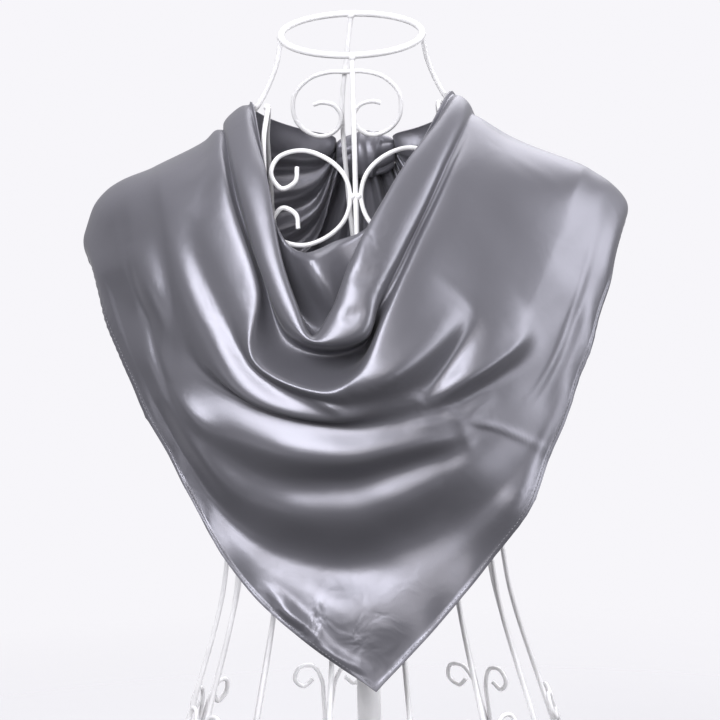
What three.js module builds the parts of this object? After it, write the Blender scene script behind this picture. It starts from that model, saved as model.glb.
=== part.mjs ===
// A plain grey satin square scarf, folded corner to corner into a double triangle, worn as a cowl on a
// white wire dress form: the point hangs in front, the ends go over the shoulders and are knotted behind.
// Millimetres, +Z up, the front faces -Y, left and right as seen from the front.
import * as THREE from "three";

// Driving dimensions
const SCARF = { wall: 1.6, seamGap: 0.5 };
const WIRE = { radius: 2, ringRadius: 2.6, scrollRadius: 1.8, weldGap: 0.3 };
const NECK_RING = { y: -6, z: 747, radius: 55, tilt: THREE.MathUtils.degToRad(18) };
const WAIST = { z: 345, halfWidth: 109, frontDepth: 79, backDepth: 70 };
const HIP = { z: 140, halfWidth: 165, frontDepth: 132, backDepth: 124 };
const SKIRT = { wires: 14, scrollTop: 222 };
const STAND = { baseRadius: 135, baseThickness: 8, poleRadius: 9.5, barRadius: 3 };
const KNOT = { x: 9, y: 94, z: 650, halfLength: 24, radius: 17 };

const PAINT = { color: 0xf2f0f0, roughness: 0.35, metalness: 0.0 };
const SATIN = { color: 0x7e7e82, roughness: 0.38, metalness: 0.25 };

// The body that the cloth hangs on, as half ellipses by height
const DRAPE_LEVELS = [
  { z: 240, halfWidth: 200, front: 108, back: 78 },
  { z: 350, halfWidth: 205, front: 116, back: 82 },
  { z: 450, halfWidth: 209, front: 121, back: 87 },
  { z: 500, halfWidth: 210, front: 119, back: 89 },
  { z: 540, halfWidth: 211, front: 113, back: 89 },
  { z: 575, halfWidth: 211, front: 105, back: 87 },
  { z: 600, halfWidth: 208, front: 97, back: 84 },
  { z: 622, halfWidth: 199, front: 89, back: 81 },
  { z: 637, halfWidth: 180, front: 82, back: 78 },
  { z: 650, halfWidth: 143, front: 75, back: 75 },
  { z: 664, halfWidth: 114, front: 67, back: 71 },
  { z: 680, halfWidth: 92, front: 58, back: 66 },
  { z: 695, halfWidth: 76, front: 49, back: 61 },
  { z: 705, halfWidth: 70, front: 45, back: 58 },
];

// The surface of the wire form inside the cloth
const FORM_LEVELS = [
  { z: 140, halfWidth: 165, front: 132, back: 124 },
  { z: 220, halfWidth: 140, front: 112, back: 104 },
  { z: 300, halfWidth: 116, front: 88, back: 79 },
  { z: 345, halfWidth: 109, front: 79, back: 70 },
  { z: 430, halfWidth: 126, front: 92, back: 75 },
  { z: 500, halfWidth: 156, front: 104, back: 80 },
  { z: 540, halfWidth: 172, front: 101, back: 80 },
  { z: 600, halfWidth: 186, front: 87, back: 76 },
  { z: 640, halfWidth: 164, front: 73, back: 68 },
  { z: 664, halfWidth: 106, front: 61, back: 62 },
  { z: 694, halfWidth: 70, front: 45, back: 50 },
];

// Folds of the front, from the neck edge down to the hem. Each runs from one shoulder line to the other.
// Shoulders give height and lift off the body, the seven stations between give x, height and lift.
const fold = (name, rows, leftShoulder, upperLeft, left, lowerLeft, low,
  lowerRight, right, upperRight, rightShoulder) => ({
  name, rows, leftShoulder, rightShoulder,
  stations: [upperLeft, left, lowerLeft, low, lowerRight, right, upperRight],
});
const FRONT_FOLDS = [
  fold("neck edge", 3, [695, 3], [-67, 644, 3], [-62, 611, 3], [-50, 589, 4], [-36, 584, 4],
    [-16, 591, 4], [7, 600, 4], [40, 645, 4], [700, 3]),
  fold("first pocket", 3, [693, 2], [-68, 632, 3], [-62, 586, 1], [-52, 544, -1], [-33, 522, 2],
    [-12, 528, 4], [6, 574, 5], [40, 636, 4], [697, 2]),
  fold("roll", 3, [689, 6], [-65, 635, 11], [-55, 581, 20], [-43, 545, 27], [-32, 521, 31],
    [-19, 539, 31], [-4, 575, 27], [29, 630, 18], [693, 6]),
  fold("roll lip", 4, [677, 6], [-84, 625, 11], [-68, 571, 20], [-49, 528, 29], [-28, 516, 36],
    [3, 521, 37], [13, 549, 31], [44, 605, 16], [686, 6]),
  fold("second pocket", 3, [674, 1.5], [-88, 621, 2], [-70, 566, 4], [-53, 523, 3], [-27, 511, 2],
    [3, 517, 6], [16, 545, 18], [46, 602, 8], [682, 1.5]),
  fold("pocket floor", 3, [673, 3], [-91, 623, 4], [-71, 561, 7], [-59, 516, 5], [-25, 503, 4],
    [3, 509, 9], [18, 540, 19], [49, 600, 8], [680, 2]),
  fold("second ridge", 3, [671, 5], [-95, 628, 8], [-72, 555, 14], [-75, 508, 22], [-22, 483, 33],
    [-2, 495, 34], [18, 530, 28], [52, 598, 12], [677, 3]),
  fold("valley", 3, [664, 3], [-119, 602, 7], [-101, 546, 12], [-75, 500, 18], [-18, 473, 26],
    [24, 482, 22], [56, 500, 14], [90, 552, 8], [661, 3]),
  fold("third lip", 4, [648, 3], [-137, 586, 6], [-118, 521, 11], [-80, 478, 23], [-22, 463, 26],
    [20, 470, 21], [57, 484, 15], [104, 513, 8], [640, 3]),
  fold("tuck", 3, [645, 2], [-143, 580, 4], [-126, 510, 7], [-84, 478, 8], [-24, 460, 15],
    [23, 460, 16], [62, 472, 11], [110, 503, 7], [636, 2]),
  fold("belly top", 3, [639, 2], [-158, 547, 4], [-132, 480, 8], [-83, 447, 16], [-19, 435, 25],
    [30, 442, 22], [71, 452, 14], [125, 480, 7], [629, 2]),
  fold("belly hollow", 2, [634, 2], [-162, 540, 3], [-135, 470, 6], [-84, 423, 8], [-18, 415, 11],
    [37, 427, 11], [79, 441, 9], [129, 476, 6], [625, 2]),
  fold("belly swell", 3, [629, 2], [-166, 533, 4], [-137, 460, 7], [-84, 402, 10], [-15, 391, 17],
    [44, 410, 16], [88, 432, 13], [134, 472, 7], [620, 2]),
  fold("low hollow", 2, [618, 2], [-174, 520, 3], [-140, 446, 5], [-83, 372, 4], [-9, 353, 3],
    [53, 376, 5], [96, 406, 12], [138, 461, 8], [612, 2]),
  fold("low swell", 3, [600, 2], [-180, 516, 3], [-144, 436, 6], [-83, 356, 9], [-4, 318, 20],
    [56, 350, 15], [100, 391, 16], [141, 454, 9], [604, 2]),
  fold("hem", 0, [574, 2], [-189, 510, 3], [-148, 426, 6], [-83, 332, 16], [5, 261, 36],
    [60, 319, 25], [105, 374, 18], [145, 443, 9], [594, 2]),
];
// Stretches of the front, cut half way between two folds where the cloth is tucked out of sight
const FRONT_NODES = [
  { name: "cowl_roll", first: 0, last: 3.5 },
  { name: "cowl_fold", first: 3.5, last: 8.5 },
  { name: "front_drape", first: 8.5, last: 15 },
];
const FRONT_COLUMNS = 34;

// Soft ridges and dips of the front, each along a bent line in x and z, on the folds from one to another
const crease = (name, from, via, to, width, height, firstFold, lastFold) => ({
  name, width, height, firstFold, lastFold,
  path: new THREE.QuadraticBezierCurve(
    new THREE.Vector2(...from), new THREE.Vector2(...via), new THREE.Vector2(...to)),
});
const FRONT_CREASES = [
  crease("right fan swell", [72, 546], [36, 508], [-12, 484], 9, 10, 5.8, 8),
  crease("right fan hollow", [80, 536], [62, 504], [38, 474], 9, -7, 6.2, 8.8),
  crease("far fan hollow", [132, 510], [90, 484], [40, 467], 9, -5, 7.2, 12.5),
  crease("left valley", [-129, 616], [-124, 552], [-43, 470], 10, -3, 6.5, 9),
  crease("left leaf", [-133, 593], [-131, 539], [-56, 475], 12, 3, 7, 9.4),
  crease("left shoulder hollow", [-186, 572], [-169, 532], [-121, 500], 16, -4, 9, 14),
  crease("left chest swell", [-166, 595], [-147, 547], [-110, 506], 15, 6, 9.1, 12.5),
  crease("left flank", [-136, 490], [-131, 460], [-91, 400], 13, 5, 9.6, 16),
  crease("left edge hollow", [-158, 474], [-147, 434], [-99, 369], 12, -4, 10, 16.5),
  crease("right flank", [60, 412], [110, 402], [156, 372], 25, 8, 9.8, 16.5),
  crease("inner streak", [-47, 596], [-28, 564], [-6, 524], 9, 15, -0.5, 1.8),
];

// The two ends that go round the back, from the shoulder line to the knot
const BACK_STATIONS = [
  { turn: 115, neckZ: 686, hemZ: 564, lift: 4, gather: 2 },
  { turn: 138, neckZ: 676, hemZ: 552, lift: 5, gather: 4 },
  { turn: 156, neckZ: 668, hemZ: 553, lift: 6, gather: 4 },
  { turn: 168, neckZ: 663, hemZ: 576, lift: 8, gather: 3 },
];
const BACK = { columns: 14, rows: 14, gathers: 3.5, knotTop: 661, knotBottom: 639, knotGather: 1.5 };
const TAIL = { columns: 8, rows: 13, pleats: 2.5, rootHalfWidth: 15, halfWidth: 34, pleatDepth: 5 };
const TAILS = [
  { name: "left_tail", rootX: -1, rootY: 104, tipX: -48, tipY: 122, tipZ: 432 },
  { name: "right_tail", rootX: 19, rootY: 96, tipX: 64, tipY: 110, tipZ: 446 },
];

const group = new THREE.Group();

function addMesh(name, geometry, finish) {
  const mesh = new THREE.Mesh(geometry, new THREE.MeshStandardMaterial(finish));
  mesh.name = name;
  group.add(mesh);
}

// Smooth value of one column of a table of levels at a height
function levelAt(levels, column, z) {
  const last = levels.length - 1;
  const above = levels.findIndex((level) => level.z > z);
  const k = above < 0 ? last - 1 : Math.max(0, above - 1);
  const slope = (i) => {
    const low = levels[Math.max(0, i - 1)];
    const high = levels[Math.min(last, i + 1)];
    return (high[column] - low[column]) / (high.z - low.z);
  };
  const span = levels[k + 1].z - levels[k].z;
  const u = THREE.MathUtils.clamp((z - levels[k].z) / span, 0, 1);
  const rise = levels[k + 1][column] - levels[k][column];
  const bend = (1 - u) * (slope(k) * span - rise) - u * (slope(k + 1) * span - rise);
  return levels[k][column] + u * rise + u * (1 - u) * bend;
}

// Point on the body: turn is 0 at the front centre, +90 degrees at the right shoulder
function bodyPoint(levels, turn, z) {
  const depth = Math.cos(turn) > 0 ? levelAt(levels, "front", z) : levelAt(levels, "back", z);
  return new THREE.Vector3(levelAt(levels, "halfWidth", z) * Math.sin(turn), -depth * Math.cos(turn), z);
}

function liftedPoint(turn, z, lift) {
  const step = 0.01;
  const point = bodyPoint(DRAPE_LEVELS, turn, z);
  const round = bodyPoint(DRAPE_LEVELS, turn + step, z).sub(bodyPoint(DRAPE_LEVELS, turn - step, z));
  const rise = bodyPoint(DRAPE_LEVELS, turn, z + 1).sub(bodyPoint(DRAPE_LEVELS, turn, z - 1));
  return point.addScaledVector(round.cross(rise).normalize(), lift);
}

// A fold line as a curve through x, height and lift. The hem turns a corner at its low point.
function foldCurves(row) {
  const shoulder = (side, [z, lift]) =>
    new THREE.Vector3(side * levelAt(DRAPE_LEVELS, "halfWidth", z), z, lift);
  const points = row.stations.map((station) => new THREE.Vector3(...station));
  points.unshift(shoulder(-1, row.leftShoulder));
  points.push(shoulder(1, row.rightShoulder));
  const middle = (points.length - 1) / 2;
  const parts = row.name === "hem" ? [points.slice(0, middle + 1), points.slice(middle)] : [points];
  return parts.map((part) => new THREE.CatmullRomCurve3(part));
}

const frontCurves = FRONT_FOLDS.map(foldCurves);

function foldPoint(index, across) {
  const curves = frontCurves[index];
  const part = Math.min(curves.length - 1, Math.floor(across * curves.length));
  const [x, z, lift] = curves[part].getPoint(across * curves.length - part).toArray();
  const turn = Math.asin(THREE.MathUtils.clamp(x / levelAt(DRAPE_LEVELS, "halfWidth", z), -1, 1));
  return liftedPoint(turn, z, lift);
}

// Height of the soft ridges and dips at a point of the front
function creaseHeight(point, down) {
  let height = 0;
  for (const row of FRONT_CREASES) {
    const inside = THREE.MathUtils.smoothstep(down, row.firstFold, row.firstFold + 0.6)
      * (1 - THREE.MathUtils.smoothstep(down, row.lastFold - 0.6, row.lastFold));
    if (inside === 0) continue;
    const place = new THREE.Vector2(point.x, point.z);
    let nearest = Infinity;
    let along = 0;
    for (let i = 0; i <= 24; i += 1) {
      const distance = row.path.getPoint(i / 24).distanceTo(place);
      if (distance < nearest) {
        nearest = distance;
        along = i / 24;
      }
    }
    height += row.height * inside * Math.sin(Math.PI * along) * Math.exp(-((nearest / row.width) ** 2));
  }
  return height;
}

// Section of the front at one place across, from 0 at the left shoulder line to 1 at the right one
function frontSection(across) {
  return new THREE.CatmullRomCurve3(FRONT_FOLDS.map((row, index) => foldPoint(index, across)));
}

function frontPoint(section, down) {
  const point = section.getPoint(down / (FRONT_FOLDS.length - 1));
  const outward = new THREE.Vector3(point.x / 3, point.y, 0).normalize();
  return point.addScaledVector(outward, creaseHeight(point, down));
}

// Normals of a grid of points. An end that meets another stretch is cut square: flat names the axis
// across that cut, for the first and the last column.
function gridNormals(grid, flat) {
  const lastRow = grid.length - 1;
  const lastColumn = grid[0].length - 1;
  return grid.map((line, r) => line.map((point, c) => {
    const alongRow = line[Math.min(c + 1, lastColumn)].clone().sub(line[Math.max(c - 1, 0)]);
    const downRows = grid[Math.min(r + 1, lastRow)][c].clone().sub(grid[Math.max(r - 1, 0)][c]);
    const normal = downRows.cross(alongRow);
    if (c === 0 && flat.first) normal[flat.first] = 0;
    if (c === lastColumn && flat.last) normal[flat.last] = 0;
    return normal.normalize();
  }));
}

// Closed wall on a grid of points, half the thickness to each side
function wallGeometry(grid, normals) {
  const rows = grid.length;
  const columns = grid[0].length;
  const positions = [];
  for (const side of [0.5, -0.5]) {
    grid.forEach((line, r) => line.forEach((point, c) => {
      positions.push(...point.clone().addScaledVector(normals[r][c], side * SCARF.wall).toArray());
    }));
  }
  const faces = [];
  const quad = (a, b, c, d) => faces.push(a, b, c, a, c, d);
  const index = (side, r, c) => side * rows * columns + r * columns + c;
  for (let r = 0; r < rows - 1; r += 1) {
    for (let c = 0; c < columns - 1; c += 1) {
      quad(index(0, r, c), index(0, r + 1, c), index(0, r + 1, c + 1), index(0, r, c + 1));
      quad(index(1, r, c), index(1, r, c + 1), index(1, r + 1, c + 1), index(1, r + 1, c));
    }
  }
  for (let c = 0; c < columns - 1; c += 1) {
    quad(index(0, 0, c), index(0, 0, c + 1), index(1, 0, c + 1), index(1, 0, c));
    quad(index(0, rows - 1, c + 1), index(0, rows - 1, c), index(1, rows - 1, c), index(1, rows - 1, c + 1));
  }
  for (let r = 0; r < rows - 1; r += 1) {
    quad(index(0, r + 1, 0), index(0, r, 0), index(1, r, 0), index(1, r + 1, 0));
    quad(index(0, r, columns - 1), index(0, r + 1, columns - 1), index(1, r + 1, columns - 1),
      index(1, r, columns - 1));
  }
  return closedGeometry(positions, faces);
}

// Closed geometry with its faces turned outward
function closedGeometry(positions, faces) {
  const corner = (i) => new THREE.Vector3().fromArray(positions, 3 * faces[i]);
  let volume = 0;
  for (let i = 0; i < faces.length; i += 3) {
    volume += corner(i).dot(corner(i + 1).cross(corner(i + 2)));
  }
  const outward = volume > 0 ? faces : faces.toReversed();
  const geometry = new THREE.BufferGeometry();
  geometry.setAttribute("position", new THREE.Float32BufferAttribute(positions, 3));
  geometry.setIndex(outward);
  geometry.computeVertexNormals();
  return geometry;
}

// Draw the first or last row of a grid in by half a seam gap, square to that row
function trimRow(grid, row, beside) {
  const line = grid[row].map((point) => point.clone());
  grid[row].forEach((point, c) => {
    const along = line[Math.min(c + 1, line.length - 1)].clone().sub(line[Math.max(c - 1, 0)]).normalize();
    const inward = grid[beside][c].clone().sub(point);
    inward.addScaledVector(along, -inward.dot(along)).normalize();
    point.addScaledVector(inward, SCARF.seamGap / 2);
  });
}

function addFront() {
  const sections = [];
  for (let c = 0; c <= FRONT_COLUMNS; c += 1) {
    sections.push(frontSection(0.5 - 0.5 * Math.cos((Math.PI * c) / FRONT_COLUMNS)));
  }
  const lastFold = FRONT_FOLDS.length - 1;
  const downs = [lastFold];
  FRONT_FOLDS.forEach((row, k) => {
    for (let i = 0; i < row.rows; i += 1) downs.push(k + i / row.rows);
  });
  downs.sort((a, b) => a - b);
  const front = downs.map((down) => sections.map((section) => frontPoint(section, down)));
  for (const line of front) {
    line[0].setY(-SCARF.seamGap / 2);
    line[FRONT_COLUMNS].setY(-SCARF.seamGap / 2);
  }
  const normals = gridNormals(front, { first: "y", last: "y" });
  for (const node of FRONT_NODES) {
    const top = downs.indexOf(node.first);
    const end = downs.indexOf(node.last) + 1;
    const grid = front.slice(top, end).map((line) => line.map((point) => point.clone()));
    if (node.first > 0) trimRow(grid, 0, 1);
    if (node.last < lastFold) trimRow(grid, grid.length - 1, grid.length - 2);
    addMesh(node.name, wallGeometry(grid, normals.slice(top, end)), SATIN);
  }
}

// One end of the scarf from its shoulder line round to the knot, side -1 left and +1 right
function addBack(name, side) {
  const shoulder = frontSection(side < 0 ? 0 : 1);
  const grid = [];
  for (let r = 0; r <= BACK.rows; r += 1) {
    const down = r / BACK.rows;
    const pleat = Math.cos(2 * Math.PI * BACK.gathers * down);
    const points = [shoulder.getPointAt(down)];
    for (const row of BACK_STATIONS) {
      const turn = side * THREE.MathUtils.degToRad(row.turn);
      const z = THREE.MathUtils.lerp(row.neckZ, row.hemZ, down);
      const point = liftedPoint(turn, z, row.lift + row.gather * pleat);
      point.x += (KNOT.x * (row.turn - 90)) / 90;
      points.push(point);
    }
    const knotEnd = KNOT.x + side * (KNOT.halfLength + SCARF.seamGap);
    const knotZ = THREE.MathUtils.lerp(BACK.knotTop, BACK.knotBottom, down);
    points.push(new THREE.Vector3(knotEnd, KNOT.y + BACK.knotGather * pleat, knotZ));
    const curve = new THREE.CatmullRomCurve3(points);
    grid.push(Array.from({ length: BACK.columns + 1 }, (unused, c) => curve.getPoint(c / BACK.columns)));
  }
  for (const line of grid) line[0].setY(SCARF.seamGap / 2);
  addMesh(name, wallGeometry(grid, gridNormals(grid, { first: "y", last: "x" })), SATIN);
}

// A round bar through a curve, as closed rings of points
function rodGeometry(curve, radius, steps, sides, closed = false) {
  const frames = curve.computeFrenetFrames(steps, closed);
  const rings = closed ? steps : steps + 1;
  const positions = [];
  const faces = [];
  for (let i = 0; i < rings; i += 1) {
    const centre = curve.getPointAt(i / steps);
    for (let k = 0; k < sides; k += 1) {
      const angle = (2 * Math.PI * k) / sides;
      const point = centre.clone().addScaledVector(frames.normals[i], radius * Math.cos(angle));
      positions.push(...point.addScaledVector(frames.binormals[i], radius * Math.sin(angle)).toArray());
    }
  }
  for (let i = 0; i < (closed ? rings : rings - 1); i += 1) {
    for (let k = 0; k < sides; k += 1) {
      const here = i * sides;
      const next = ((i + 1) % rings) * sides;
      const beside = (k + 1) % sides;
      faces.push(here + k, here + beside, next + beside, here + k, next + beside, next + k);
    }
  }
  if (!closed) {
    for (let k = 1; k < sides - 1; k += 1) {
      faces.push(0, k + 1, k);
      faces.push((rings - 1) * sides, (rings - 1) * sides + k, (rings - 1) * sides + k + 1);
    }
  }
  return closedGeometry(positions, faces);
}

function addRod(name, points, radius, steps, sides = 6) {
  addMesh(name, rodGeometry(new THREE.CatmullRomCurve3(points), radius, steps, sides), PAINT);
}

function addKnot() {
  const rings = 10;
  const sides = 14;
  const positions = [];
  const faces = [];
  for (let i = 0; i <= rings; i += 1) {
    const along = -1 + (2 * i) / rings;
    const swell = 0.6 + 0.4 * Math.sqrt(1 - along * along);
    for (let k = 0; k < sides; k += 1) {
      const angle = (2 * Math.PI * k) / sides;
      const radius = KNOT.radius * swell * (1 + 0.06 * Math.cos(4 * angle + 2 * along));
      positions.push(KNOT.x + KNOT.halfLength * along, KNOT.y + radius * Math.cos(angle) * 0.85,
        KNOT.z + radius * Math.sin(angle));
    }
  }
  for (let i = 0; i < rings; i += 1) {
    for (let k = 0; k < sides; k += 1) {
      const beside = (k + 1) % sides;
      const here = i * sides;
      const next = here + sides;
      faces.push(here + k, here + beside, next + beside, here + k, next + beside, next + k);
    }
  }
  for (let k = 1; k < sides - 1; k += 1) {
    faces.push(0, k + 1, k);
    faces.push(rings * sides, rings * sides + k, rings * sides + k + 1);
  }
  addMesh("knot", closedGeometry(positions, faces), SATIN);
}

// A pointed corner hanging from the knot, pleated at its root
function addTail(row) {
  const root = new THREE.Vector3(row.rootX, row.rootY, KNOT.z - KNOT.radius * 1.06 - SCARF.seamGap);
  const tip = new THREE.Vector3(row.tipX, row.tipY, row.tipZ);
  const grid = [];
  for (let r = 0; r <= TAIL.rows; r += 1) {
    const down = r / TAIL.rows;
    const middle = root.clone().lerp(tip, down);
    middle.y = THREE.MathUtils.lerp(root.y, tip.y, down ** 0.6);
    const opened = THREE.MathUtils.smoothstep(down, 0, 0.4);
    const spread = THREE.MathUtils.lerp(TAIL.rootHalfWidth, TAIL.halfWidth, opened);
    const halfWidth = spread * Math.min(1, (1.04 - down) / 0.5);
    const pleatDepth = TAIL.pleatDepth * (1 - down) ** 0.6;
    const line = [];
    for (let c = 0; c <= TAIL.columns; c += 1) {
      const across = -1 + (2 * c) / TAIL.columns;
      const pleat = pleatDepth * Math.sin(Math.PI * TAIL.pleats * across) * 0.6;
      line.push(new THREE.Vector3(middle.x + halfWidth * across, middle.y + pleat, middle.z));
    }
    grid.push(line);
  }
  addMesh(row.name, wallGeometry(grid, gridNormals(grid, {})), SATIN);
}

// Wires of the form
const formTurn = (x, z) => Math.asin(THREE.MathUtils.clamp(x / levelAt(FORM_LEVELS, "halfWidth", z), -1, 1));
const formFront = (x, z) => bodyPoint(FORM_LEVELS, formTurn(x, z), z);
const formBack = (x, z) => bodyPoint(FORM_LEVELS, Math.PI - formTurn(x, z), z);

function neckRingPoint(turn, drop) {
  const reach = NECK_RING.radius * Math.cos(turn);
  return new THREE.Vector3(
    NECK_RING.radius * Math.sin(turn),
    NECK_RING.y - reach * Math.cos(NECK_RING.tilt),
    NECK_RING.z - reach * Math.sin(NECK_RING.tilt) - drop,
  );
}

function ovalPoint(oval, turn, z) {
  const depth = Math.cos(turn) > 0 ? oval.frontDepth : oval.backDepth;
  return new THREE.Vector3(oval.halfWidth * Math.sin(turn), -depth * Math.cos(turn), z);
}

function addRing(name, pointAt, steps) {
  const points = Array.from({ length: 24 }, (unused, i) => pointAt((2 * Math.PI * i) / 24));
  const curve = new THREE.CatmullRomCurve3(points, true);
  addMesh(name, rodGeometry(curve, WIRE.ringRadius, steps, 6, true), PAINT);
}

const weld = WIRE.ringRadius + WIRE.weldGap;

function addTorsoWires() {
  addRing("neck_ring", (turn) => neckRingPoint(turn, 0), 36);
  addRing("waist_ring", (turn) => ovalPoint(WAIST, turn, WAIST.z), 36);
  const waistTop = WAIST.z + weld;
  addRod("front_wire", [
    neckRingPoint(0, weld), new THREE.Vector3(0, -66, 690), formFront(0, 640), formFront(0, 590),
    formFront(0, 520), formFront(0, 440), ovalPoint(WAIST, 0, waistTop),
  ], WIRE.radius, 16);
  addRod("back_wire", [
    neckRingPoint(Math.PI, weld), new THREE.Vector3(-5, 51, 725), new THREE.Vector3(-9, 56, 690),
    formBack(-6, 620), formBack(0, 540), formBack(0, 440), ovalPoint(WAIST, Math.PI, waistTop),
  ], WIRE.radius, 16);
  for (const side of [-1, 1]) {
    const label = side < 0 ? "left" : "right";
    const underCloth = [694, 680, 664, 650, 637, 622].map((z) => liftedPoint((side * Math.PI) / 2, z, -2.2));
    addRod(`${label}_shoulder_wire`, [
      neckRingPoint((side * Math.PI) / 2, weld + 0.5), new THREE.Vector3(side * 60, -4, 722), ...underCloth,
      new THREE.Vector3(side * 194, 0, 590), new THREE.Vector3(side * 168, 0, 530),
      new THREE.Vector3(side * 139, 0, 465), new THREE.Vector3(side * 117, 0, 400),
      ovalPoint(WAIST, (side * Math.PI) / 2, waistTop),
    ], WIRE.radius, 30);
    const stations = [[69.5, 668], [69, 642], [68.4, 624], [68, 606], [60, 550], [50, 490], [42, 430]];
    for (const face of ["front", "back"]) {
      const onForm = face === "front" ? formFront : formBack;
      const depth = face === "front" ? -1 : 1;
      const turn = face === "front" ? side * 0.34 : Math.PI - side * 0.34;
      addRod(`${label}_${face}_wire`, [
        new THREE.Vector3(side * 66.5, depth * 7, 691), new THREE.Vector3(side * 67.8, depth * 26, 682),
        ...stations.map(([x, z]) => onForm(side * x, z)), ovalPoint(WAIST, turn, waistTop),
      ], WIRE.radius, 14);
    }
  }
}

// Curled wires: sideways and down from where each touches its upright
const CHEST_CURL = [
  [0, 0], [4.6, 16.7], [17.5, 28.9], [36.5, 35.2], [54, 30.4], [59.7, 18.2], [51.7, 7.2], [41.4, 12.2],
  [39.8, 22.8],
];
const NAPE_CURL = [
  [0, 0], [14, 0], [30, 5], [42, 18], [42, 36], [33, 47], [20, 51], [9, 46], [5, 36], [10, 27], [20, 24],
  [27, 25.5],
];
const SKIRT_CURL = [[0, 62], [3.5, 34], [6, 15], [14, 2], [25, 2], [29, 13], [21, 20], [13.5, 14]];

function addScrolls() {
  const reach = WIRE.radius + WIRE.scrollRadius + WIRE.weldGap;
  const chestZ = 624;
  for (const side of [-1, 1]) {
    const place = ([out, up]) => {
      const point = formFront(side * (reach + out), chestZ + up);
      return point.setY(point.y + 1.5);
    };
    const lower = CHEST_CURL.slice(1).map(([out, up]) => [out, -up]).reverse();
    const name = side < 0 ? "left_chest_scroll" : "right_chest_scroll";
    addRod(name, [...lower, ...CHEST_CURL].map(place), WIRE.scrollRadius, 44, 5);
  }
  const napeZ = 718;
  const nape = ([out, down]) => new THREE.Vector3(out - 5, 52 - reach + 0.09 * down, napeZ - down);
  const mirrored = (curl) => [...curl.slice(1).reverse().map(([out, down]) => [-out, down]), ...curl];
  addRod("nape_scroll", mirrored(NAPE_CURL).map(nape), WIRE.scrollRadius, 44, 5);
  for (let k = 0; k < SKIRT.wires / 2; k += 1) {
    const turn = skirtTurn(2 * k + 1);
    const curl = ([out, down]) => {
      const z = SKIRT.scrollTop - down;
      const point = bodyPoint(FORM_LEVELS, turn + out / levelAt(FORM_LEVELS, "halfWidth", z), z);
      const away = new THREE.Vector3(point.x, point.y, 0).normalize();
      return point.addScaledVector(away, reach + 1);
    };
    addRod(`skirt_scroll_${k + 1}`, mirrored(SKIRT_CURL).map(curl), WIRE.scrollRadius, 24, 5);
  }
}

function skirtTurn(index) {
  return ((index + 0.5) * 2 * Math.PI) / SKIRT.wires;
}

function addSkirt() {
  addRing("hip_ring", (turn) => ovalPoint(HIP, turn, HIP.z), 40);
  for (let k = 0; k < SKIRT.wires; k += 1) {
    const turn = skirtTurn(k);
    const number = String(k + 1).padStart(2, "0");
    addRod(`skirt_wire_${number}`, [
      ovalPoint(WAIST, turn, WAIST.z - weld), bodyPoint(FORM_LEVELS, turn, 300),
      bodyPoint(FORM_LEVELS, turn, 220), ovalPoint(HIP, turn, HIP.z + weld),
    ], WIRE.radius, 8);
  }
}

function addStand() {
  const base = new THREE.CylinderGeometry(STAND.baseRadius, STAND.baseRadius, STAND.baseThickness, 48);
  base.rotateX(Math.PI / 2).translate(0, 0, STAND.baseThickness / 2);
  addMesh("base_plate", base, PAINT);
  const foot = STAND.baseThickness + WIRE.weldGap;
  const poleLength = WAIST.z - foot;
  const pole = new THREE.CylinderGeometry(STAND.poleRadius, STAND.poleRadius, poleLength, 20);
  pole.rotateX(Math.PI / 2).translate(0, 0, foot + poleLength / 2);
  addMesh("pole", pole, PAINT);
  const crossBar = (z, from, to) => [new THREE.Vector3(from, 0, z), new THREE.Vector3((from + to) / 2, 0, z),
    new THREE.Vector3(to, 0, z)];
  const waistReach = WAIST.halfWidth - weld;
  const onTop = WAIST.z + WIRE.weldGap + STAND.barRadius;
  addRod("waist_bar", crossBar(onTop, -waistReach + 1, waistReach - 1), STAND.barRadius, 4);
  const inner = STAND.poleRadius + WIRE.weldGap;
  const hipReach = HIP.halfWidth - weld;
  addRod("left_hip_bar", crossBar(HIP.z, -hipReach, -inner), STAND.barRadius, 3);
  addRod("right_hip_bar", crossBar(HIP.z, inner, hipReach), STAND.barRadius, 3);
}

addFront();
addBack("left_wrap", -1);
addBack("right_wrap", 1);
addKnot();
TAILS.forEach(addTail);
addTorsoWires();
addSkirt();
addScrolls();
addStand();

export default group;
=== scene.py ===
import math
import bmesh
import bpy
import numpy as np
from mathutils import Matrix, Vector


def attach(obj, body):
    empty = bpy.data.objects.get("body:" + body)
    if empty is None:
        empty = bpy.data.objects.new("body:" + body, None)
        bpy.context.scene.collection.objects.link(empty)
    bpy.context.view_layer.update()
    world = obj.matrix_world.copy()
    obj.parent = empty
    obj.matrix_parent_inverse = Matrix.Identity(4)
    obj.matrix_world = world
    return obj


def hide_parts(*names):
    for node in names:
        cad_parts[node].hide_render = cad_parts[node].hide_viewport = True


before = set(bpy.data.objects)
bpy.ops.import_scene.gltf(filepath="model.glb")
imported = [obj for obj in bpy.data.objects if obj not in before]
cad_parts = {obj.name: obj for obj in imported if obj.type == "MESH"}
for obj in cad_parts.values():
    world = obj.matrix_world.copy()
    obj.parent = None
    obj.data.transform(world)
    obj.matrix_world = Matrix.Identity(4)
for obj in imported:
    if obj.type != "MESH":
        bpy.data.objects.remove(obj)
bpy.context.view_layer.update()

mm = 0.001  # tables are in millimetres, Blender in metres


# camera, at the photograph's angle
view = {"target": (0, -80, 500), "distance": 1900, "elevation": 6.5, "roll": -1.52, "lens": 125}

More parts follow.
